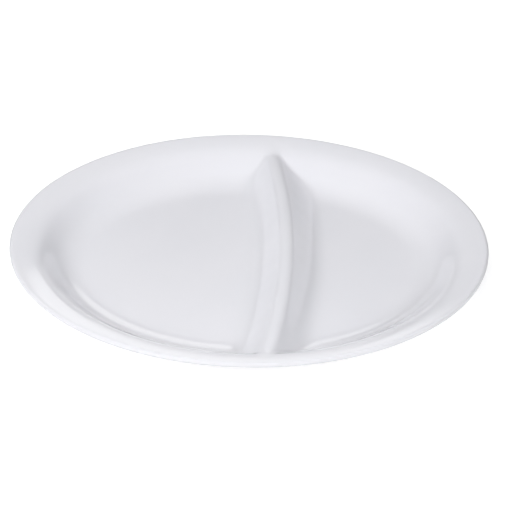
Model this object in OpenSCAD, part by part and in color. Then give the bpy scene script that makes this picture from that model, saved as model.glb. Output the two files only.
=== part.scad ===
// Oval divided plate: one wide well with a sloping wall and a soft rim, split by a bowed ridge into a
// large and a small compartment, standing on an oval foot ring.
// The origin is the middle of the ring's underside. X runs along the plate, Z points up.

/* [Outline] */
// Length of the plate from rim edge to rim edge
plate_length = 270; // [220:1:330]
// Width of the plate across its middle
plate_width = 190; // [150:1:240]

/* [Rim and well] */
// Thickness of the fired body, also the roll of the rim's edge
body_thickness = 3.8; // [3:0.1:5]
// Width of the rim at the plate's ends, from its edge to the shoulder
rim_width = 14; // [11:0.5:20]
// Fall of the rim towards the well, in degrees
rim_slope = 13; // [6:0.5:18]
// Run of the wall at the plate's ends, from the shoulder to the floor
wall_run = 24; // [20:0.5:32]
// Depth of the well from the rim's top to the floor
well_depth = 19; // [16:0.5:23]
// Radius over which the rim turns into the wall
shoulder_radius = 22; // [12:1:26]
// Radius over which the wall turns into the floor
well_radius = 28; // [16:1:32]

/* [Divider] */
// Distance of the ridge's crest from the middle of the plate
divider_offset = 21.5; // [10:0.5:34]
// Radius of the bow that the crest follows, seen from above
divider_bow_radius = 350; // [250:5:600]
// How far the crest lies below the rim's top
divider_drop = 4.2; // [3.5:0.1:7]
// Radius of the rounded crest
divider_crest_radius = 7; // [5:0.5:8.5]
// Steepness of the ridge's flanks, in degrees
divider_flank_slope = 52; // [46:1:58]
// Radius of the hollow at the foot of each flank
divider_toe_radius = 13; // [8:0.5:16]

/* [Foot ring] */
// Height of the ring under the well
foot_height = 2.6; // [2:0.1:4]
// Width of the ring's band at the plate's ends
foot_width = 5; // [4:0.5:7]
// Rounding of the ring's two lower edges
foot_rounding = 0.9; // [0.5:0.1:1.2]
// Distance of the ring from the start of the well's bend
foot_setback = 1; // [0.5:0.5:4]

/* [Hidden] */
$fn = 180;

// How many straight pieces make each arc of a section
arc_pieces = 8;
// How far the ridge's section dips into the floor before it is trimmed to it
toe_sink = 0.3;

oval_ratio = plate_width / plate_length;
half_length = plate_length / 2;
half_width = plate_width / 2;
underside_z = foot_height;
floor_z = underside_z + body_thickness;
top_z = floor_z + well_depth;

// The plate's section lies along X: [distance from the middle, height]. It is followed inwards, so a
// heading of 180 degrees is level and a larger one goes down.
edge_radius = body_thickness / 2;
edge_centre = [half_length - edge_radius, top_z - edge_radius];
rim_heading = 180 + rim_slope;
rim_start = edge_centre - edge_radius * left_of(rim_heading);
shoulder_x = half_length - rim_width;
shoulder = [shoulder_x, rim_start[1] - (rim_start[0] - shoulder_x) * tan(rim_slope)];
well_corner = [shoulder_x - wall_run, floor_z];
wall_slope = atan2(shoulder[1] - well_corner[1], wall_run);
wall_heading = 180 + wall_slope;
shoulder_tangent = shoulder_radius * tan((wall_slope - rim_slope) / 2);
well_tangent = well_radius * tan(wall_slope / 2);
shoulder_centre = shoulder - shoulder_tangent * along(rim_heading) + shoulder_radius * left_of(rim_heading);
flat_floor_x = well_corner[0] - well_tangent;
well_centre = [flat_floor_x, floor_z + well_radius];

// The ridge's section: [distance from the bow's axis, height]
crest_centre = [divider_bow_radius, top_z - divider_drop - divider_crest_radius];
ridge_base_z = floor_z - toe_sink;
flank_height = crest_centre[1] + divider_crest_radius * cos(divider_flank_slope) - ridge_base_z;
flank_base = divider_crest_radius * sin(divider_flank_slope) + flank_height / tan(divider_flank_slope);
toe_offset = flank_base + divider_toe_radius * tan(divider_flank_slope / 2);
// Half of the angle that the ridge spans on its bow, from under one side of the rim to the other
divider_half_angle = asin((half_width - rim_width * oval_ratio) / divider_bow_radius);

foot_outer = flat_floor_x - foot_setback;
foot_inner = foot_outer - foot_width;

// Unit vector of a heading in degrees, and the one square to its left
function along(heading) = [cos(heading), sin(heading)];
function left_of(heading) = [-sin(heading), cos(heading)];

// Points of an arc about a centre, from one direction to another
function arc(centre, radius, from_angle, to_angle) = [
    for (i = [0:arc_pieces]) centre + radius * along(from_angle + (to_angle - from_angle) * i / arc_pieces)
];

// The rim's rolled edge: its lower half as far as the plate's outermost point, and its upper half
function edge_below() = arc(edge_centre, edge_radius, rim_heading - 270, 0);
function edge_above() = concat(arc(edge_centre, edge_radius, 0, 90), [rim_start]);

// The face that food lies on, from the rim to the middle of the floor
function upper_face() = concat(
    arc(shoulder_centre, shoulder_radius, rim_heading - 90, wall_heading - 90),
    arc(well_centre, well_radius, wall_heading + 90, 270),
    [[0, floor_z]]
);

// The underside, one thickness lower, from the middle to the rim
function lower_face() = concat(
    [[0, underside_z]],
    arc(well_centre, well_radius + body_thickness, 270, wall_heading + 90),
    arc(shoulder_centre, shoulder_radius - body_thickness, wall_heading - 90, rim_heading - 90)
);

// Turns a section about the plate's axis, a quarter at a time, and draws the round in to the oval
module oval_turn() {
    for (quarter = [0:3])
        scale([1, oval_ratio, 1]) rotate([0, 0, 90 * quarter]) rotate_extrude(angle = 90) children();
}

// All that lies under the upper face, for trimming the ridge to the well
module below_upper_face() {
    polygon(concat([[0, 0], [half_length, 0]], edge_above(), upper_face()));
}

// A round crest between two straight flanks, each running out into a hollow at its foot
module divider_section() {
    toe_height = ridge_base_z + divider_toe_radius;
    polygon(concat(
        arc([divider_bow_radius + toe_offset, toe_height], divider_toe_radius, 270, 270 - divider_flank_slope),
        arc(crest_centre, divider_crest_radius, 90 - divider_flank_slope, 90 + divider_flank_slope),
        arc([divider_bow_radius - toe_offset, toe_height], divider_toe_radius, 270 + divider_flank_slope, 270)
    ));
}

// The ring's band, with its two lower edges rounded
module foot_ring_section() {
    translate([foot_inner, foot_rounding]) square([foot_width, foot_height - foot_rounding]);
    translate([foot_inner + foot_rounding, 0]) square([foot_width - 2 * foot_rounding, foot_height]);
    for (x = [foot_inner + foot_rounding, foot_outer - foot_rounding])
        translate([x, foot_rounding]) circle(foot_rounding);
}

// The plate's body: rim, shoulder, wall and floor in one thickness
module plate_shell() {
    color("white") oval_turn() polygon(concat(lower_face(), edge_below(), edge_above(), upper_face()));
}

// The ridge, trimmed to the floor and the walls that it stands on
module divider() {
    color("ghostwhite") difference() {
        translate([divider_offset - divider_bow_radius, 0, 0])
            rotate([0, 0, -divider_half_angle])
                rotate_extrude(angle = 2 * divider_half_angle) divider_section();
        oval_turn() below_upper_face();
    }
}

// The ring under the well that the plate stands on
module foot_ring() {
    color("linen") oval_turn() foot_ring_section();
}

plate_shell();
divider();
foot_ring();
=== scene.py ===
"""An oval divided plate in white glazed porcelain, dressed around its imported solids.

The plate is three pieces: its body in one thickness, the bowed ridge that parts the well, and the ring
that it stands on. Each is a closed surface worked out with numpy from the plate's own sizes. Lengths are in
metres.
"""

import logging
import math
from dataclasses import dataclass, field
from enum import Enum

import bpy
import numpy as np
from mathutils import Matrix, Vector


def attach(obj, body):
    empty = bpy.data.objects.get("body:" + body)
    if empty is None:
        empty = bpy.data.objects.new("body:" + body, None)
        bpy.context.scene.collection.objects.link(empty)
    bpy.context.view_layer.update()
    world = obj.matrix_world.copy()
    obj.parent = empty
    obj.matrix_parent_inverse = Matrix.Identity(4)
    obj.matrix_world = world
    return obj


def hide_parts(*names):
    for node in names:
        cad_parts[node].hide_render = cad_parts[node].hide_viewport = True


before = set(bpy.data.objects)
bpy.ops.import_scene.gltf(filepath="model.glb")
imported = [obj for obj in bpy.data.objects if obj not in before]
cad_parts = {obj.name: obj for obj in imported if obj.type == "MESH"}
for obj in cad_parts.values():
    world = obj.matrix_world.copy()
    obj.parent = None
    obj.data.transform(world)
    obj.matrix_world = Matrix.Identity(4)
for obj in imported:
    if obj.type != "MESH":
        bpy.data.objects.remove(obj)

LOG = logging.getLogger("divided_plate")
MM = 0.001
# Width and height of the picture in pixels
PHOTO_PIXELS = 520
# How many times a search by halving narrows its range
HALVINGS = 40
# Range in which nearly all values of a noise lie
NOISE_SPAN = (0.3, 0.7)


class Slot(Enum):
    """The record's material slots."""

    BODY = "glazed_body"
    RIDGE = "glazed_ridge"
    FOOT = "foot"


def smooth_step(value: np.ndarray, low: float, high: float) -> np.ndarray:
    """Ramp from 0 at low to 1 at high, level at both ends: three times the square less twice the cube.

    Args:
        value: Numbers to map.
        low: Where the ramp leaves 0.
        high: Where the ramp reaches 1.

    Returns:
        The ramp's height at each number.
    """
    share = np.clip((value - low) / (high - low), 0.0, 1.0)
    return share * share * (3.0 - 2.0 * share)


def softened(values: np.ndarray, step: float, reach: float) -> np.ndarray:
    """Average each value with its neighbours, with weights that fall as a raised cosine.

    Args:
        values: Evenly spaced values.
        step: Distance between two of them.
        reach: Distance at which the weights end.

    Returns:
        The softened values, as many as before.
    """
    count = max(1, round(reach / step))
    weights = 1.0 + np.cos(np.pi * np.arange(-count, count + 1) / (count + 1))
    padded = np.concatenate([np.full(count, values[0]), values, np.full(count, values[-1])])
    return np.convolve(padded, weights / weights.sum(), mode="valid")


def blend_up(lower: np.ndarray, upper: np.ndarray, reach: np.ndarray) -> np.ndarray:
    """Height above one surface of another that stands on it, with a soft joint between the two.

    Without the joint it is the difference where the second surface is the higher one, and nothing elsewhere.
    The joint adds the cube of what is left of the reach, over six times the reach squared, and nothing once
    the surfaces are further apart than the reach. Its slope and its bend both start from zero.

    Args:
        lower: Height of the surface that carries.
        upper: Height of the surface that stands on it.
        reach: Height difference over which the two join.

    Returns:
        Height above the carrying surface.
    """
    gap = np.abs(lower - upper)
    return np.maximum(upper - lower, 0.0) + np.maximum(reach - gap, 0.0) ** 3 / (6.0 * reach**2)


def add_mesh(name: str, points: np.ndarray, faces: list[np.ndarray]) -> bpy.types.Object:
    """Make a smooth-shaded object from points and faces.

    Args:
        name: Name of the object and of its mesh.
        points: One row of three coordinates for each point.
        faces: Arrays of point numbers, one row for each face, the corners anticlockwise from outside.

    Returns:
        The new object, at the origin.
    """
    mesh = bpy.data.meshes.new(name)
    mesh.from_pydata(points.tolist(), [], [face for block in faces for face in block.tolist()])
    mesh.polygons.foreach_set("use_smooth", np.ones(len(mesh.polygons), bool))
    mesh.update()
    mesh.validate()
    piece = bpy.data.objects.new(name, mesh)
    bpy.context.scene.collection.objects.link(piece)
    return piece


def ring_faces(rings: int, around: int, closed: bool) -> np.ndarray:
    """Four-cornered faces between rings of points.

    Args:
        rings: Number of rings, listed one after another.
        around: Points in each ring.
        closed: Whether the last ring joins the first one.

    Returns:
        One row of four point numbers for each face.
    """
    numbers = np.arange(rings * around).reshape(rings, around)
    near = numbers if closed else numbers[:-1]
    far = np.roll(numbers, -1, axis=0) if closed else numbers[1:]
    corners = [near, far, np.roll(far, -1, axis=1), np.roll(near, -1, axis=1)]
    return np.stack(corners, axis=-1).reshape(-1, 4)


@dataclass(frozen=True)
class PlateSection:
    """Section of the plate's body, taken along its long axis and drawn in to the oval across it.

    Across the plate the rim is narrower in step with the outline, and the wall runs nearly as far as at the
    ends. Widths and slopes are those at the ends.

    Attributes:
        rim_width: From the outermost point to the corner between rim and wall.
        rim_slope: Middle slope of the rim. It is larger by the swell at the wall and smaller at the edge.
        wall_run: From that corner to the one between wall and floor.
        floor_half_width: Half of the level floor's width, across the plate.
        softening: Distance over which the slope is averaged.
        ratio_overrun: How far past the corner the oval still changes its ratio.
        step: Distance between two places of the slope table.
        first_ring: Distance of the innermost ring of points.
        dense_start: Where the rings get close, dense_step apart, up to dense_overrun past the rim's corner.
    """

    half_length: float = 135.0 * MM
    half_width: float = 95.0 * MM
    thickness: float = 3.8 * MM
    rim_width: float = 16.6 * MM
    rim_slope: float = math.radians(14.0)
    rim_swell: float = math.radians(4.5)
    wall_run: float = 14.7 * MM
    floor_half_width: float = 60.0 * MM
    well_depth: float = 19.0 * MM
    shoulder_radius: float = 16.6 * MM
    well_radius: float = 21.2 * MM
    foot_height: float = 2.6 * MM
    softening: float = 2.0 * MM
    ratio_overrun: float = 3.0 * MM
    step: float = 0.05 * MM
    first_ring: float = 4.0 * MM
    dense_start: float = 74.0 * MM
    dense_step: float = 0.62 * MM
    dense_overrun: float = 8.0 * MM
    floor_rings: int = 18
    rim_rings: int = 5
    edge_points: int = 25

    @property
    def floor_end(self) -> float:
        """Distance from the middle at which the level floor ends, along the plate."""
        shoulder, _, wall = self.corners()
        return shoulder - self.wall_run - self.well_radius * math.tan(wall / 2.0)

    def ratio_at(self, reach: np.ndarray) -> np.ndarray:
        """Width over length of the oval through a place on the section.

        It grows from the floor's end to a little past the shoulder, fast at first and ever slower.

        Args:
            reach: Distances from the middle, along the plate.

        Returns:
            One ratio for each distance.
        """
        over_floor = self.floor_half_width / self.floor_end
        outline = self.half_width / self.half_length
        grown_end = self.corners()[0] + self.ratio_overrun
        left = np.clip((grown_end - reach) / (grown_end - self.floor_end), 0.0, 1.0)
        return outline + (over_floor - outline) * left * left

    @property
    def floor_z(self) -> float:
        """Height of the well's floor."""
        return self.foot_height + self.thickness

    @property
    def top_z(self) -> float:
        """Height of the rim's top."""
        return self.floor_z + self.well_depth

    @property
    def edge_slope(self) -> float:
        """Slope of the rim where it meets the rolled edge."""
        return self.rim_slope - self.rim_swell

    @property
    def rim_start(self) -> tuple[float, float]:
        """Distance from the middle and height at which the rim meets the rolled edge."""
        roll = self.thickness / 2.0
        reach = self.half_length - roll - roll * math.sin(self.edge_slope)
        return reach, self.top_z - roll + roll * math.cos(self.edge_slope)

    def corners(self) -> tuple[float, float, float]:
        """Find the sharp corners that the section is rounded from.

        Returns:
            Distance of the shoulder from the middle, its height, and the wall's slope.
        """
        rim_start, rim_start_z = self.rim_start
        shoulder = self.half_length - self.rim_width
        shoulder_z = rim_start_z - (rim_start - shoulder) * math.tan(self.rim_slope)
        return shoulder, shoulder_z, math.atan2(shoulder_z - self.floor_z, self.wall_run)

    def slope_table(self) -> tuple[np.ndarray, np.ndarray, np.ndarray]:
        """Work out the upper face as a slope that is added up from the middle outwards.

        The slope is level over the floor, follows an arc into the wall and an arc back into the rim, and
        eases over the rim, which is slightly swollen. Each change is softened a little, so that reflections
        run over it without a kink. A common factor close to one makes the rise end exactly at the rolled
        edge.

        Returns:
            Distances from the middle, heights, and slopes there, each as rise over run.
        """
        shoulder, _, wall = self.corners()
        rim_inner = self.rim_slope + self.rim_swell
        rim_start, rim_start_z = self.rim_start
        turn = (wall - rim_inner) / 2.0
        shoulder_tangent = self.shoulder_radius * math.tan(turn)
        bend_start = shoulder - shoulder_tangent * math.cos(wall)
        bend_end = shoulder + shoulder_tangent * math.cos(rim_inner)
        reach = np.arange(0.0, self.half_length, self.step)
        rising = np.arcsin(np.clip((reach - self.floor_end) / self.well_radius, 0.0, math.sin(wall)))
        into_bend = np.clip(reach - bend_start, 0.0, bend_end - bend_start)
        falling_sine = math.sin(wall) - into_bend / self.shoulder_radius
        eased = 2.0 * self.rim_swell * np.clip((reach - bend_end) / (rim_start - bend_end), 0.0, 1.0)
        falling = np.arcsin(np.clip(falling_sine, math.sin(rim_inner), math.sin(wall))) - eased
        angle = np.where(reach < bend_start, rising, falling)
        slope = softened(np.tan(angle), self.step, self.softening)
        rise = np.concatenate([[0.0], np.cumsum((slope[1:] + slope[:-1]) / 2.0) * self.step])
        factor = (rim_start_z - self.floor_z) / np.interp(rim_start, reach, rise)
        return reach, self.floor_z + rise * factor, slope * factor

    def reach_at(self, x: np.ndarray, y: np.ndarray) -> np.ndarray:
        """Find by halving which oval of the plate goes through each place.

        Args:
            x: Places along the plate.
            y: Places across it.

        Returns:
            Distances along the section at which those ovals start.
        """
        low, high = np.zeros_like(x), np.full_like(x, 2.0 * self.half_length)
        for _ in range(HALVINGS):
            middle = (low + high) / 2.0
            outside = np.hypot(x, y / self.ratio_at(middle)) > middle
            low, high = np.where(outside, middle, low), np.where(outside, high, middle)
        return (low + high) / 2.0

    def upper_height(self, x: np.ndarray, y: np.ndarray) -> np.ndarray:
        """Height of the upper face over places on the table.

        Args:
            x: Places along the plate.
            y: Places across it.

        Returns:
            One height for each place.
        """
        reach, height, _ = self.slope_table()
        return np.interp(self.reach_at(x, y), reach, height)

    def under_height(self, x: np.ndarray, y: np.ndarray) -> np.ndarray:
        """Height of the underside over places on the table: one thickness square to the upper face.

        Args:
            x: Places along the plate.
            y: Places across it.

        Returns:
            One height for each place.
        """
        reach, height, slope = self.slope_table()
        lean = np.arctan(slope)
        under_reach = reach + self.thickness * np.sin(lean)
        return np.interp(self.reach_at(x, y), under_reach, height - self.thickness * np.cos(lean))

    def stations(self) -> np.ndarray:
        """Choose where the rings of points lie: wide apart on the floor and the rim, close over the bends.

        Returns:
            Distances from the middle.
        """
        dense_end = self.corners()[0] + self.dense_overrun
        floor = np.linspace(self.first_ring, self.dense_start, self.floor_rings, endpoint=False)
        bends = np.arange(self.dense_start, dense_end, self.dense_step)
        rim = np.linspace(dense_end, self.rim_start[0], self.rim_rings)
        return np.concatenate([floor, bends, rim])

    def rolled_edge(self) -> np.ndarray:
        """Draw the rim's edge as a half circle, without its two ends.

        Returns:
            Rows of distance from the middle and height.
        """
        roll = self.thickness / 2.0
        half_turn = math.pi / 2.0
        turns = np.linspace(self.edge_slope + half_turn, self.edge_slope - half_turn, self.edge_points)[1:-1]
        return np.stack([self.half_length - roll + roll * np.cos(turns),
                         self.top_z - roll + roll * np.sin(turns)], axis=-1)

    def closed_loop(self) -> np.ndarray:
        """Follow the section from the floor's middle over the rim's rolled edge to the underside's middle.

        Returns:
            Rows of distance from the middle and height.
        """
        reach, height, slope = self.slope_table()
        stations = self.stations()
        z = np.interp(stations, reach, height)
        lean = np.arctan(np.interp(stations, reach, slope))
        upper = np.stack([stations, z], axis=-1)
        under_x = stations + self.thickness * np.sin(lean)
        under_z = z - self.thickness * np.cos(lean)
        under = np.stack([under_x, under_z], axis=-1)[::-1]
        return np.concatenate([upper, self.rolled_edge(), under])


@dataclass
class PlateBody:
    """The plate's body: floor, wall, shoulder, rim and rolled edge in one thickness."""

    section: PlateSection = field(default_factory=PlateSection)
    around: int = 440

    def build(self) -> bpy.types.Object:
        """Turn the section about the upright axis and draw the round in to the oval.

        A point at distance d and angle a lies at d times cosine a along the plate and at d times sine a times
        the ratio there across it. One point closes the middle of each face.

        Returns:
            The body's object.
        """
        loop = self.section.closed_loop()
        angle = np.linspace(0.0, 2.0 * math.pi, self.around, endpoint=False)
        across = loop[:, :1] * self.section.ratio_at(loop[:, :1])
        rings = np.stack([loop[:, :1] * np.cos(angle),
                          across * np.sin(angle),
                          np.broadcast_to(loop[:, 1:2], (len(loop), self.around))], axis=-1)
        count = len(loop) * self.around
        poles = np.array([[0.0, 0.0, self.section.floor_z], [0.0, 0.0, self.section.foot_height]])
        first = np.arange(self.around)
        last = first + count - self.around
        top_fan = np.stack([np.full(self.around, count), first, np.roll(first, -1)], axis=-1)
        under_fan = np.stack([np.full(self.around, count + 1), np.roll(last, -1), last], axis=-1)
        faces = [ring_faces(len(loop), self.around, closed=False), top_fan, under_fan]
        return add_mesh("plate_body", np.concatenate([rings.reshape(-1, 3), poles]), faces)

    def dress(self, piece: bpy.types.Object, finish: "GlazeFinish") -> None:
        """Give the body its glaze.

        Args:
            piece: The body's object.
            finish: The glaze.
        """
        piece.data.materials.append(finish.material(Slot.BODY))


@dataclass(frozen=True)
class FlankWave:
    """Two waves along one flank of the ridge: the long one's share, and the angle at which each starts."""

    long_share: float
    long_start: float
    short_start: float
    long_length: float = 25.0 * MM
    short_length: float = 11.0 * MM

    def height(self, y: np.ndarray) -> np.ndarray:
        """Add up the two sine waves.

        Args:
            y: Places across the plate.

        Returns:
            Heights between -1 and 1.
        """
        long_wave = np.sin(2.0 * math.pi * y / self.long_length + self.long_start)
        short_wave = np.sin(2.0 * math.pi * y / self.short_length + self.short_start)
        return self.long_share * long_wave + (1.0 - self.long_share) * short_wave


@dataclass
class DividerRidge:
    """The bowed ridge that parts the well, from one side of the rim to the other.

    Attributes:
        offset: Distance of the crest from the middle of the plate.
        drop: How far the crest lies below the rim's top.
        toe_reach: Reach of the soft joint to the floor.
        wall_reach: Reach of the joint where the flanks climb the wall.
        crest_reach: Reach of the joint at the crest's ends, within crest_half_width.
        side_reach: How far the grid goes to each side of the crest.
        end_distance: Oval at which the grid ends, as a distance along the plate's section.
        fade_start: Oval from which the ridge fades on the rim, until fade_end.
        widest_swing: Angle along the bow that lies past the rim on any line.
        climb_height: Height above the floor at which the joint has its reach on the wall.
        unevenness: Largest shift of the flanks. It grows from wave_start to wave_full beside the crest.
        sink: How far the surface lies under the body where the ridge adds nothing.
        dip_share: Further depth there, as a share of the height past the joint, up to dip_limit.
        end_dip: Further depth at the grid's two ends.
        hidden_depth: Depth of the grid's underside inside the body.
    """

    section: PlateSection = field(default_factory=PlateSection)
    offset: float = 21.5 * MM
    bow_radius: float = 350.0 * MM
    drop: float = 4.2 * MM
    crest_radius: float = 6.0 * MM
    flank_slope: float = math.radians(47.0)
    toe_reach: float = 11.0 * MM
    wall_reach: float = 4.0 * MM
    crest_reach: float = 7.0 * MM
    crest_half_width: float = 8.0 * MM
    side_reach: float = 27.5 * MM
    end_distance: float = 132.3 * MM
    fade_start: float = 113.0 * MM
    fade_end: float = 129.0 * MM
    widest_swing: float = 0.5
    climb_height: float = 9.0 * MM
    unevenness: float = 0.07 * MM
    wave_start: float = 3.0 * MM
    wave_full: float = 9.0 * MM
    left_wave: FlankWave = FlankWave(0.7, 4.0, 0.5)
    right_wave: FlankWave = FlankWave(0.6, 1.0, 2.2)
    profile_step: float = 0.02 * MM
    softening: float = 0.6 * MM
    sink: float = 0.006 * MM
    dip_share: float = 0.15
    dip_limit: float = 0.7 * MM
    end_dip: float = 0.4 * MM
    hidden_depth: float = 1.7 * MM
    across: int = 130
    along: int = 300

    def crest_profile(self, side: np.ndarray) -> np.ndarray:
        """Height of the ridge beside its crest line: a round crest that runs into straight flanks.

        The slope's sine grows with the distance from the crest line until it reaches the flanks' slope. The
        height is what that slope adds up to.

        Args:
            side: Distance from the crest line.

        Returns:
            Heights, before the ridge is joined to the well.
        """
        step = self.profile_step
        distance = np.arange(0.0, self.side_reach + self.softening, step)
        angle = np.arcsin(np.clip(distance / self.crest_radius, 0.0, math.sin(self.flank_slope)))
        slope = softened(np.tan(angle), step, self.softening)
        fall = np.concatenate([[0.0], np.cumsum((slope[1:] + slope[:-1]) / 2.0) * step])
        return self.section.top_z - self.drop - np.interp(np.abs(side), distance, fall)

    def uneven_side(self, side: np.ndarray, y: np.ndarray) -> np.ndarray:
        """Shift the flanks slightly to and fro along the ridge, as on a form that is finished by hand.

        The shift is a sum of two sine waves along the ridge, other ones on each flank. It is nothing on the
        crest and full from a little way beside it.

        Args:
            side: Distances from the crest line.
            y: Places across the plate.

        Returns:
            Distances from the crest line with the shift added.
        """
        wave = np.where(side > 0.0, self.right_wave.height(y), self.left_wave.height(y))
        share = smooth_step(np.abs(side), self.wave_start, self.wave_full)
        return side + self.unevenness * share * wave

    def place(self, side: np.ndarray, swing: np.ndarray) -> tuple[np.ndarray, np.ndarray]:
        """Find places on the table from where they lie on the bow.

        Args:
            side: Distances from the bow's line.
            swing: Angles along it, nothing in the middle.

        Returns:
            Places along the plate, and across it.
        """
        radius = self.bow_radius + side
        return self.offset - self.bow_radius + radius * np.cos(swing), radius * np.sin(swing)

    def end_swing(self, side: np.ndarray) -> np.ndarray:
        """Angle along the bow at which each line beside the crest meets the rim's oval, by halving.

        Args:
            side: Distances from the crest line.

        Returns:
            One angle for each distance.
        """
        low, high = np.zeros_like(side), np.full_like(side, self.widest_swing)
        for _ in range(HALVINGS):
            middle = (low + high) / 2.0
            inside = self.section.reach_at(*self.place(side, middle)) < self.end_distance
            low, high = np.where(inside, middle, low), np.where(inside, high, middle)
        return (low + high) / 2.0

    def heights(self, x: np.ndarray, y: np.ndarray, side: np.ndarray) -> tuple[np.ndarray, np.ndarray]:
        """Height of the ridge's surface, softly joined to the floor and to the walls.

        The joint is wide over the floor, tight where the flanks climb the wall, and wide again where the
        crest runs out into the rim, on which it fades. Past the joint's end the surface dips under the body.

        Args:
            x: Places along the plate.
            y: Places across it.
            side: Distances from the crest line.

        Returns:
            Heights of the surface, and of the body's upper face under it.
        """
        body = self.section.upper_height(x, y)
        ridge = self.crest_profile(self.uneven_side(side, y))
        climb = smooth_step(body - self.section.floor_z, 0.0, self.climb_height)
        middle = 1.0 - smooth_step(np.abs(side), 0.0, self.crest_half_width)
        reach_above = self.wall_reach + (self.crest_reach - self.wall_reach) * middle
        reach = self.toe_reach + (reach_above - self.toe_reach) * climb
        distance = self.section.reach_at(x, y)
        fade = 1.0 - smooth_step(distance, self.fade_start, self.fade_end)
        past = np.maximum(body - ridge - reach, 0.0)
        dip = self.sink + np.minimum(self.dip_share * past, self.dip_limit)
        dip = dip + self.end_dip * smooth_step(distance, self.fade_end, self.end_distance)
        return body + blend_up(body, ridge, reach) * fade - dip, body

    def build(self) -> bpy.types.Object:
        """Lay a grid over the ridge, across it and along its bow, and close it underneath.

        Returns:
            The ridge's object.
        """
        side = self.side_reach * np.linspace(-1.0, 1.0, self.across)
        swing = np.linspace(-1.0, 1.0, self.along)[:, None] * self.end_swing(side)[None, :]
        side = np.broadcast_to(side, swing.shape)
        x, y = self.place(side, swing)
        top_z, body = self.heights(x, y, side)
        top = np.stack([x, y, top_z], axis=-1).reshape(-1, 3)
        under = np.stack([x, y, body - self.hidden_depth], axis=-1).reshape(-1, 3)
        numbers = np.arange(self.along * self.across).reshape(self.along, self.across)
        cells = np.stack([numbers[:-1, :-1], numbers[:-1, 1:], numbers[1:, 1:], numbers[1:, :-1]], axis=-1)
        cells = cells.reshape(-1, 4)
        border = np.concatenate([numbers[0, :-1], numbers[:-1, -1], numbers[-1, :0:-1], numbers[:0:-1, 0]])
        beyond = np.roll(border, -1)
        skirt = np.stack([border, border + numbers.size, beyond + numbers.size, beyond], axis=-1)
        faces = [cells, cells[:, ::-1] + numbers.size, skirt]
        return add_mesh("divider_ridge", np.concatenate([top, under]), faces)

    def dress(self, piece: bpy.types.Object, finish: "GlazeFinish") -> None:
        """Give the ridge its glaze.

        Args:
            piece: The ridge's object.
            finish: The glaze.
        """
        piece.data.materials.append(finish.material(Slot.RIDGE))


@dataclass
class StandingRing:
    """The ring under the well that the plate stands on, with its ground edge.

    Attributes:
        outer: Distance of its outer face from the middle, along the plate.
        joint_radius: Radius of the hollow between each face and the underside.
        hidden_depth: How far the ring goes into the body.
    """

    section: PlateSection = field(default_factory=PlateSection)
    outer: float = 87.4 * MM
    width: float = 5.0 * MM
    edge_rounding: float = 0.9 * MM
    joint_radius: float = 1.4 * MM
    hidden_depth: float = 1.2 * MM
    quarter_points: int = 9
    around: int = 360

    def closed_loop(self) -> np.ndarray:
        """Draw the ring's section: two rounded lower edges and a hollow joint to the underside on each side.

        Returns:
            Rows of distance from the middle and height, anticlockwise.
        """
        underside = self.section.foot_height
        quarter = np.linspace(0.0, math.pi / 2.0, self.quarter_points)
        joint = self.joint_radius
        outside_x = self.outer + joint - joint * np.sin(quarter)
        outside_z = underside - joint + joint * np.cos(quarter)
        edge = self.edge_rounding
        rounding_x = self.outer - edge + edge * np.cos(quarter)
        rounding_z = edge - edge * np.sin(quarter)
        half_x = np.concatenate([[self.outer + joint], outside_x, rounding_x])
        half_z = np.concatenate([[underside + self.hidden_depth], outside_z, rounding_z])
        middle = self.outer - self.width / 2.0
        x = np.concatenate([half_x, (2.0 * middle - half_x)[::-1]])
        z = np.concatenate([half_z, half_z[::-1]])
        return np.stack([x, z], axis=-1)

    def build(self) -> bpy.types.Object:
        """Carry the section round the oval.

        Each point is raised by the underside's rise above it, in full at the joint and not at all at the
        edge.

        Returns:
            The ring's object.
        """
        loop = self.closed_loop()
        angle = np.linspace(0.0, 2.0 * math.pi, self.around, endpoint=False)
        x = loop[:, :1] * np.cos(angle)
        y = loop[:, :1] * np.sin(angle) * self.section.half_width / self.section.half_length
        underside = self.section.foot_height
        rise = self.section.under_height(x, y) - underside
        z = loop[:, 1:2] + rise * np.clip(loop[:, 1:2] / underside, 0.0, 1.0)
        points = np.stack([x, y, z], axis=-1).reshape(-1, 3)
        return add_mesh("standing_ring", points, [ring_faces(len(loop), self.around, closed=True)])

    def dress(self, piece: bpy.types.Object, finish: "FootFinish") -> None:
        """Give the ring its glazed sides and bare edge.

        Args:
            piece: The ring's object.
            finish: The finish of sides and edge.
        """
        piece.data.materials.append(finish.material(Slot.FOOT))


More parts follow.
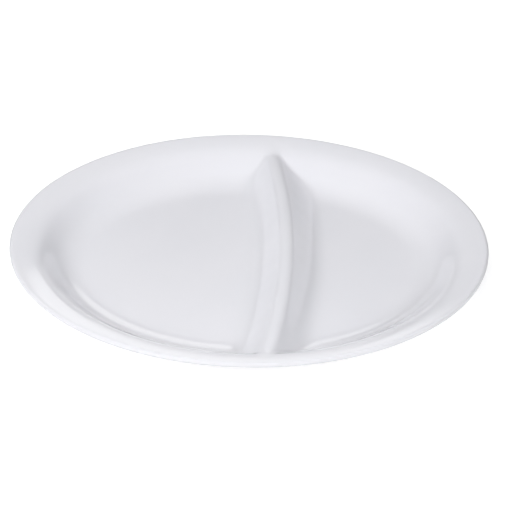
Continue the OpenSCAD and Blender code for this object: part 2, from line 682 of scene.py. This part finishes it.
@dataclass(frozen=True)
class NodeKit:
    """Short ways to add and join nodes in one tree."""

    tree: bpy.types.NodeTree

    def add(self, kind: str, **settings: object) -> bpy.types.Node:
        """Add a node and set its own properties.

        Args:
            kind: Blender's name of the node.
            **settings: Properties of the node.

        Returns:
            The new node.
        """
        node = self.tree.nodes.new(kind)
        for key, value in settings.items():
            setattr(node, key, value)
        return node

    def feed(self, target: bpy.types.NodeSocket, source: object) -> None:
        """Join a socket to another node's output, or set it to a plain value.

        Args:
            target: The socket.
            source: The other node's output, or the value.
        """
        if isinstance(source, bpy.types.NodeSocket):
            self.tree.links.new(source, target)
        else:
            target.default_value = source

    def math(self, operation: str, *values: object) -> bpy.types.NodeSocket:
        """Combine numbers.

        Args:
            operation: Name of the operation.
            *values: Its operands, sockets or numbers.

        Returns:
            The result's socket.
        """
        node = self.add("ShaderNodeMath", operation=operation)
        for socket, value in zip(node.inputs, values):
            self.feed(socket, value)
        return node.outputs[0]

    def ramp(self, value: object, low: float, high: float, start: float = 0.0,
             end: float = 1.0) -> bpy.types.NodeSocket:
        """Map a number smoothly from one range to another.

        Args:
            value: The number's socket.
            low: Where the change starts.
            high: Where it ends.
            start: Result at low and before.
            end: Result at high and past it.

        Returns:
            The result's socket.
        """
        node = self.add("ShaderNodeMapRange", interpolation_type="SMOOTHSTEP")
        sources = {"Value": value, "From Min": low, "From Max": high, "To Min": start, "To Max": end}
        for name, source in sources.items():
            self.feed(node.inputs[name], source)
        return node.outputs["Result"]

    def noise(self, where: object, scale: float, detail: float,
              roughness: float = 0.5) -> bpy.types.NodeSocket:
        """Even noise between 0 and 1 at places given by a socket.

        Args:
            where: Coordinates.
            scale: Waves in a metre.
            detail: Finer layers of the noise.
            roughness: Strength of the finer layers.

        Returns:
            The noise's socket.
        """
        node = self.add("ShaderNodeTexNoise")
        sources = {"Vector": where, "Scale": scale, "Detail": detail, "Roughness": roughness}
        for name, source in sources.items():
            self.feed(node.inputs[name], source)
        return node.outputs["Fac"]

    def mix(self, share: object, first: object, second: object) -> bpy.types.NodeSocket:
        """Blend two colours.

        Args:
            share: Part of the second colour.
            first: Colour at share 0.
            second: Colour at share 1.

        Returns:
            The blended colour's socket.
        """
        node = self.add("ShaderNodeMix", data_type="RGBA")
        share_socket, first_socket, second_socket = node.inputs[0], node.inputs[6], node.inputs[7]
        self.feed(share_socket, share)
        self.feed(first_socket, first)
        self.feed(second_socket, second)
        return node.outputs[2]

    def bump(self, height: object, distance: float, strength: float) -> bpy.types.NodeSocket:
        """Turn a height between 0 and 1 into a normal.

        Args:
            height: The height's socket.
            distance: Height in metres that 1 stands for.
            strength: Share of the full effect.

        Returns:
            The normal's socket.
        """
        node = self.add("ShaderNodeBump")
        sources = {"Height": height, "Distance": distance, "Strength": strength}
        for name, source in sources.items():
            self.feed(node.inputs[name], source)
        return node.outputs["Normal"]


def new_material(name: str) -> tuple[bpy.types.Material, NodeKit, bpy.types.Node]:
    """Start a material with its main shader.

    Args:
        name: Name of the material.

    Returns:
        The material, its node kit and the main shader.
    """
    material = bpy.data.materials.new(name)
    material.use_nodes = True
    kit = NodeKit(material.node_tree)
    return material, kit, material.node_tree.nodes["Principled BSDF"]


@dataclass(frozen=True)
class GlazeFinish:
    """Clear gloss glaze over white porcelain, with faint ripples, clouds and specks.

    Each scale is the number of a noise's waves in a metre. The relief is a height, of which fine_share is
    finer than the ripples.
    """

    body_color: tuple[float, float, float, float] = (0.897, 0.896, 0.938, 1.0)
    cloud_color: tuple[float, float, float, float] = (0.882, 0.884, 0.928, 1.0)
    cloud_scale: float = 22.0
    speck_color: tuple[float, float, float, float] = (0.76, 0.75, 0.74, 1.0)
    speck_scale: float = 900.0
    speck_span: tuple[float, float] = (0.80, 0.87)
    speck_share: float = 0.2
    roughness: float = 0.06
    roughness_below: float = 0.015
    roughness_above: float = 0.02
    roughness_scale: float = 60.0
    ripple_scale: float = 26.0
    fine_scale: float = 240.0
    fine_share: float = 0.06
    relief: float = 0.25 * MM
    relief_strength: float = 0.9
    glaze_ior: float = 1.7

    def material(self, slot: Slot) -> bpy.types.Material:
        """Make the glaze's material for one of the record's slots.

        Args:
            slot: The slot that the material is named for.

        Returns:
            The material.
        """
        material, kit, shader = new_material(slot.value)
        place = kit.add("ShaderNodeTexCoord").outputs["Object"]
        cloud = kit.ramp(kit.noise(place, self.cloud_scale, 3.0), *NOISE_SPAN)
        toned = kit.mix(cloud, self.body_color, self.cloud_color)
        speck = kit.ramp(kit.noise(place, self.speck_scale, 1.0), *self.speck_span)
        toned = kit.mix(kit.math("MULTIPLY", speck, self.speck_share), toned, self.speck_color)
        kit.feed(shader.inputs["Base Color"], toned)
        smoothest, roughest = self.roughness - self.roughness_below, self.roughness + self.roughness_above
        patches = kit.noise(place, self.roughness_scale, 2.0)
        kit.feed(shader.inputs["Roughness"], kit.ramp(patches, *NOISE_SPAN, smoothest, roughest))
        ripple = kit.math("MULTIPLY", kit.noise(place, self.ripple_scale, 1.0), 1.0 - self.fine_share)
        fine = kit.math("MULTIPLY", kit.noise(place, self.fine_scale, 2.0), self.fine_share)
        relief = kit.bump(kit.math("ADD", ripple, fine), self.relief, self.relief_strength)
        kit.feed(shader.inputs["Normal"], relief)
        shader.inputs["IOR"].default_value = self.glaze_ior
        return material


@dataclass(frozen=True)
class FootFinish:
    """Glazed sides and a ground, bare edge, with the line at which the glaze was wiped away.

    The glaze begins over the two heights of the glaze line, which wavers. Grit and soil tone the bare edge.
    """

    glaze: GlazeFinish = field(default_factory=GlazeFinish)
    bare_color: tuple[float, float, float, float] = (0.78, 0.755, 0.71, 1.0)
    bare_roughness: float = 0.62
    glaze_line: tuple[float, float] = (0.20 * MM, 0.32 * MM)
    waver: float = 0.3 * MM
    waver_scale: float = 70.0
    grit_color: tuple[float, float, float, float] = (0.70, 0.67, 0.62, 1.0)
    grit_scale: float = 1500.0
    grit_span: tuple[float, float] = (0.35, 0.7)
    soil_color: tuple[float, float, float, float] = (0.55, 0.52, 0.48, 1.0)
    soil_scale: float = 45.0
    soil_span: tuple[float, float] = (0.45, 0.8)
    soil_share: float = 0.35
    grain: float = 0.06 * MM
    grain_strength: float = 0.8

    def material(self, slot: Slot) -> bpy.types.Material:
        """Make the ring's material for one of the record's slots.

        Args:
            slot: The slot that the material is named for.

        Returns:
            The material.
        """
        material, kit, shader = new_material(slot.value)
        place = kit.add("ShaderNodeTexCoord").outputs["Object"]
        split = kit.add("ShaderNodeSeparateXYZ")
        kit.feed(split.inputs[0], place)
        waver = kit.math("MULTIPLY", kit.noise(place, self.waver_scale, 3.0), self.waver)
        glazed = kit.ramp(kit.math("SUBTRACT", split.outputs["Z"], waver), *self.glaze_line)
        grit = kit.noise(place, self.grit_scale, 4.0, 0.7)
        soil = kit.ramp(kit.noise(place, self.soil_scale, 4.0, 0.6), *self.soil_span)
        bare = kit.mix(kit.ramp(grit, *self.grit_span), self.bare_color, self.grit_color)
        bare = kit.mix(kit.math("MULTIPLY", soil, self.soil_share), bare, self.soil_color)
        kit.feed(shader.inputs["Base Color"], kit.mix(glazed, bare, self.glaze.body_color))
        rough = kit.ramp(glazed, 0.0, 1.0, self.bare_roughness, self.glaze.roughness)
        kit.feed(shader.inputs["Roughness"], rough)
        grain = kit.math("MULTIPLY", grit, kit.math("SUBTRACT", 1.0, glazed))
        kit.feed(shader.inputs["Normal"], kit.bump(grain, self.grain, self.grain_strength))
        shader.inputs["IOR"].default_value = self.glaze.glaze_ior
        return material


@dataclass(frozen=True)
class SoftPanel:
    """A round bright patch of the room around the plate, with a soft edge.

    Its light is full within the inner angle from its middle, in degrees, and ends at the outer one.
    """

    toward: tuple[float, float, float]
    inner: float
    outer: float
    strength: float


@dataclass(frozen=True)
class NearLamp:
    """A round soft lamp close to the plate, turned to its middle and not mirrored in the glaze."""

    place: tuple[float, float, float]
    size: float
    power: float

    def build(self, name: str) -> None:
        """Add the lamp.

        Args:
            name: Name of the lamp.
        """
        data = bpy.data.lights.new(name, "AREA")
        data.shape = "DISK"
        data.size = self.size
        data.energy = self.power
        lamp = bpy.data.objects.new(name, data)
        bpy.context.scene.collection.objects.link(lamp)
        lamp.visible_glossy = False
        lamp.location = self.place
        lamp.rotation_mode = "QUATERNION"
        lamp.rotation_quaternion = Vector(self.place).to_track_quat("Z", "Y")


@dataclass
class Studio:
    """White floor, a plain soft room around it, and lamps near the plate.

    The floor's own glow grows from floor_lift to far_lift between two distances from the plate.
    """

    panels: tuple[SoftPanel, ...] = (
        SoftPanel((0.0, 1.0, 0.07), 3.0, 9.0, 0.9),
        SoftPanel((0.35, 0.94, 0.07), 3.0, 9.0, 0.6),
        SoftPanel((0.08, 0.94, 0.34), 6.0, 15.0, 1.6),
        SoftPanel((-0.5, 0.87, 0.36), 8.0, 22.0, 0.14),
    )
    lamps: tuple[NearLamp, ...] = (
        NearLamp((-0.5, -0.5, 0.6), 0.8, 2.6),
        NearLamp((0.0, -0.6, 0.6), 0.8, 1.2),
        NearLamp((0.5, -0.5, 0.6), 0.8, 2.8),
        NearLamp((-0.2, -0.2, 0.7), 0.8, 3.0),
        NearLamp((-0.6, 0.5, 0.5), 0.6, 0.4),
        NearLamp((0.0, 0.9, 0.09), 0.14, 1.3),
    )
    floor_half: float = 4.0
    floor_color: tuple[float, float, float, float] = (0.86, 0.86, 0.86, 1.0)
    floor_roughness: float = 0.9
    floor_lift: float = 0.55
    far_lift: float = 1.0
    near_reach: float = 0.4
    far_reach: float = 1.0

    def build(self) -> None:
        """Make the floor, the room's light and the lamps."""
        self.build_floor()
        self.build_room()
        for number, lamp in enumerate(self.lamps):
            lamp.build(f"soft_lamp_{number}")

    def build_floor(self) -> None:
        """Make a wide floor that shows white to the camera and in reflections, and keeps the plate's shadow.

        Its own glow reaches these rays alone. It grows away from the plate, where the lamps light less.
        """
        half = self.floor_half
        points = np.array([[-half, -half, 0.0], [half, -half, 0.0], [half, half, 0.0], [-half, half, 0.0]])
        floor = add_mesh("studio_floor", points, [np.array([[0, 1, 2, 3]])])
        material, kit, shader = new_material("studio_floor")
        shader.inputs["Base Color"].default_value = self.floor_color
        shader.inputs["Roughness"].default_value = self.floor_roughness
        shader.inputs["Specular IOR Level"].default_value = 0.0
        ray = kit.add("ShaderNodeLightPath")
        seen = kit.math("MAXIMUM", ray.outputs["Is Camera Ray"], ray.outputs["Is Glossy Ray"])
        seen = kit.math("MAXIMUM", seen, ray.outputs["Is Transmission Ray"])
        away = kit.add("ShaderNodeVectorMath", operation="LENGTH")
        kit.feed(away.inputs[0], kit.add("ShaderNodeTexCoord").outputs["Object"])
        distance = away.outputs["Value"]
        lift = kit.ramp(distance, self.near_reach, self.far_reach, self.floor_lift, self.far_lift)
        kit.feed(shader.inputs["Emission Strength"], kit.math("MULTIPLY", seen, lift))
        shader.inputs["Emission Color"].default_value = (1.0, 1.0, 1.0, 1.0)
        floor.data.materials.append(material)

    def build_room(self) -> None:
        """Make the room dark but for its panels, and white where the camera sees it."""
        world = bpy.data.worlds.new("studio_light")
        world.use_nodes = True
        bpy.context.scene.world = world
        kit = NodeKit(world.node_tree)
        direction = kit.add("ShaderNodeTexCoord").outputs["Generated"]
        level = 0.0
        for panel in self.panels:
            facing = kit.add("ShaderNodeVectorMath", operation="DOT_PRODUCT")
            kit.feed(facing.inputs[0], direction)
            kit.feed(facing.inputs[1], tuple(Vector(panel.toward).normalized()))
            edge = kit.ramp(facing.outputs["Value"], math.cos(math.radians(panel.outer)),
                            math.cos(math.radians(panel.inner)), 0.0, panel.strength)
            level = kit.math("ADD", level, edge)
        seen = kit.add("ShaderNodeLightPath").outputs["Is Camera Ray"]
        background = world.node_tree.nodes["Background"]
        background.inputs["Color"].default_value = (1.0, 1.0, 1.0, 1.0)
        strength = kit.add("ShaderNodeMix", data_type="FLOAT")
        kit.feed(strength.inputs[0], seen)
        kit.feed(strength.inputs[2], level)
        kit.feed(strength.inputs[3], 1.0)
        kit.feed(background.inputs["Strength"], strength.outputs[0])


@dataclass
class PhotoCamera:
    """The camera at the photograph's angle, for a square picture.

    Attributes:
        elevation: Angle above the table.
        turn: Angle about the upright axis, nothing straight in front of the plate.
        focal_pixels: Focal length in pixels of the picture.
        center_x: Pixel column of the middle of the rim's top.
        center_y: Pixel row of it.
        sensor: Width of the sensor in millimetres.
    """

    elevation: float = math.radians(42.9)
    turn: float = math.radians(-1.55)
    roll: float = math.radians(0.2)
    distance: float = 1.1
    focal_pixels: float = 1953.0
    center_x: float = 248.8
    center_y: float = 241.5
    sensor: float = 36.0
    farthest: float = 50.0

    def build(self, aim_z: float) -> None:
        """Place the camera so that it looks at the middle of the rim's top.

        Args:
            aim_z: Height of the rim's top.
        """
        level = math.cos(self.elevation)
        back = Vector((-level * math.sin(self.turn), -level * math.cos(self.turn), math.sin(self.elevation)))
        data = bpy.data.cameras.new("photo_camera")
        camera = bpy.data.objects.new("photo_camera", data)
        bpy.context.scene.collection.objects.link(camera)
        camera.location = Vector((0.0, 0.0, aim_z)) + back * self.distance
        aim = (-back).to_track_quat("-Z", "Y")
        camera.rotation_mode = "QUATERNION"
        camera.rotation_quaternion = aim @ Matrix.Rotation(self.roll, 4, "Z").to_quaternion()
        data.sensor_width = self.sensor
        data.sensor_fit = "HORIZONTAL"
        data.lens = self.focal_pixels / PHOTO_PIXELS * self.sensor
        data.shift_x = 0.5 - self.center_x / PHOTO_PIXELS
        data.shift_y = self.center_y / PHOTO_PIXELS - 0.5
        data.clip_end = self.farthest
        bpy.context.scene.camera = camera


def main() -> None:
    """Build and dress the plate's pieces in order, and note how many points and faces each has."""
    logging.basicConfig(level=logging.INFO, format="%(name)s: %(message)s")
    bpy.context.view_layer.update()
    section = PlateSection()
    glaze = GlazeFinish()
    makers = (
        (PlateBody(section), glaze, "plate_shell", Slot.BODY),
        (DividerRidge(section), glaze, "divider", Slot.RIDGE),
        (StandingRing(section), FootFinish(glaze), "foot_ring", Slot.FOOT),
    )
    for maker, finish, node, slot in makers:
        piece = maker.build()
        maker.dress(piece, finish)
        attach(piece, "root")
        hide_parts(node)
        LOG.info("%s: %d points, %d faces", piece.name, len(piece.data.vertices), len(piece.data.polygons))
    Studio().build()
    PhotoCamera().build(section.top_z)
    bpy.context.scene.view_settings.view_transform = "Standard"


if __name__ == "__main__":
    main()
